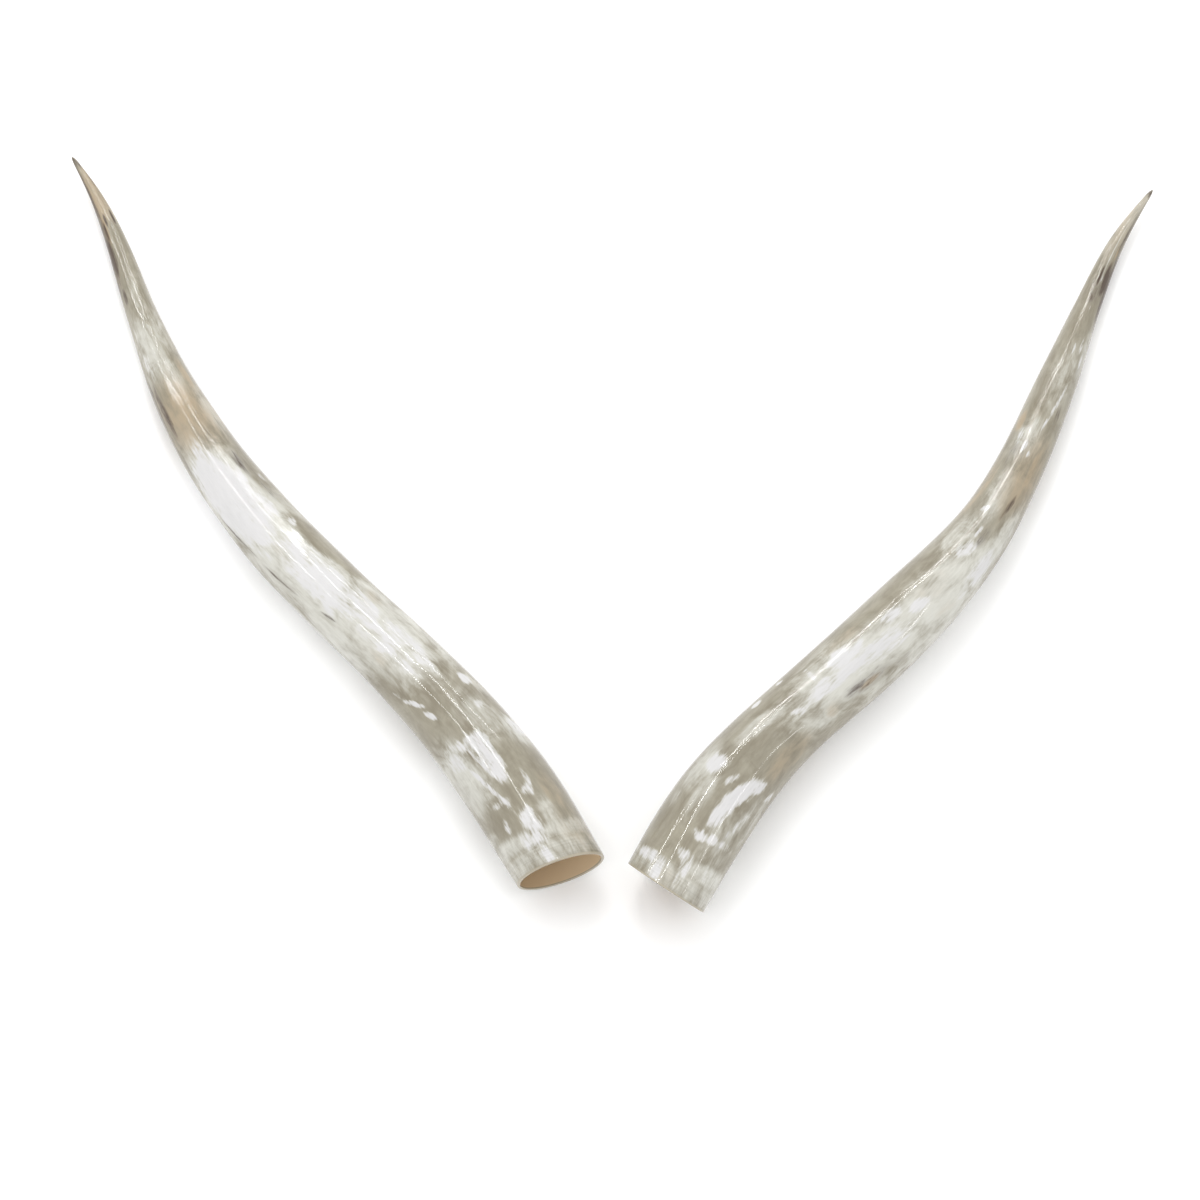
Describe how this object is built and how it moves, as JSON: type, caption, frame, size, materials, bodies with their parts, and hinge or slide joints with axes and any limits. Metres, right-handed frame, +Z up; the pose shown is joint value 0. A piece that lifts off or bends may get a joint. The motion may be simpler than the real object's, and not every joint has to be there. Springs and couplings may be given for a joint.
{
  "type": "pair of polished cow horns",
  "caption": "Pair of long polished cattle horns lying side by side, each bent in a gentle S, hollow from the sawn mouth and tapering to a point.",
  "frame": {"origin": "middle of the pair's footprint, on the surface that the horns lie on", "axes": "+X across the pair, from the left tip towards the right tip; +Y away from the sawn mouths, towards the tips' side; +Z up"},
  "size_m": [1.1176, 0.8281, 0.0849],
  "materials": {
    "polished_horn": "polished natural horn, taupe-grey with cloudy cream and white markings and brown streaks towards the tip, high gloss"
  },
  "bodies": {
    "root": {"horn_left": "polished_horn", "horn_right": "polished_horn"}
  },
  "joints": []
}
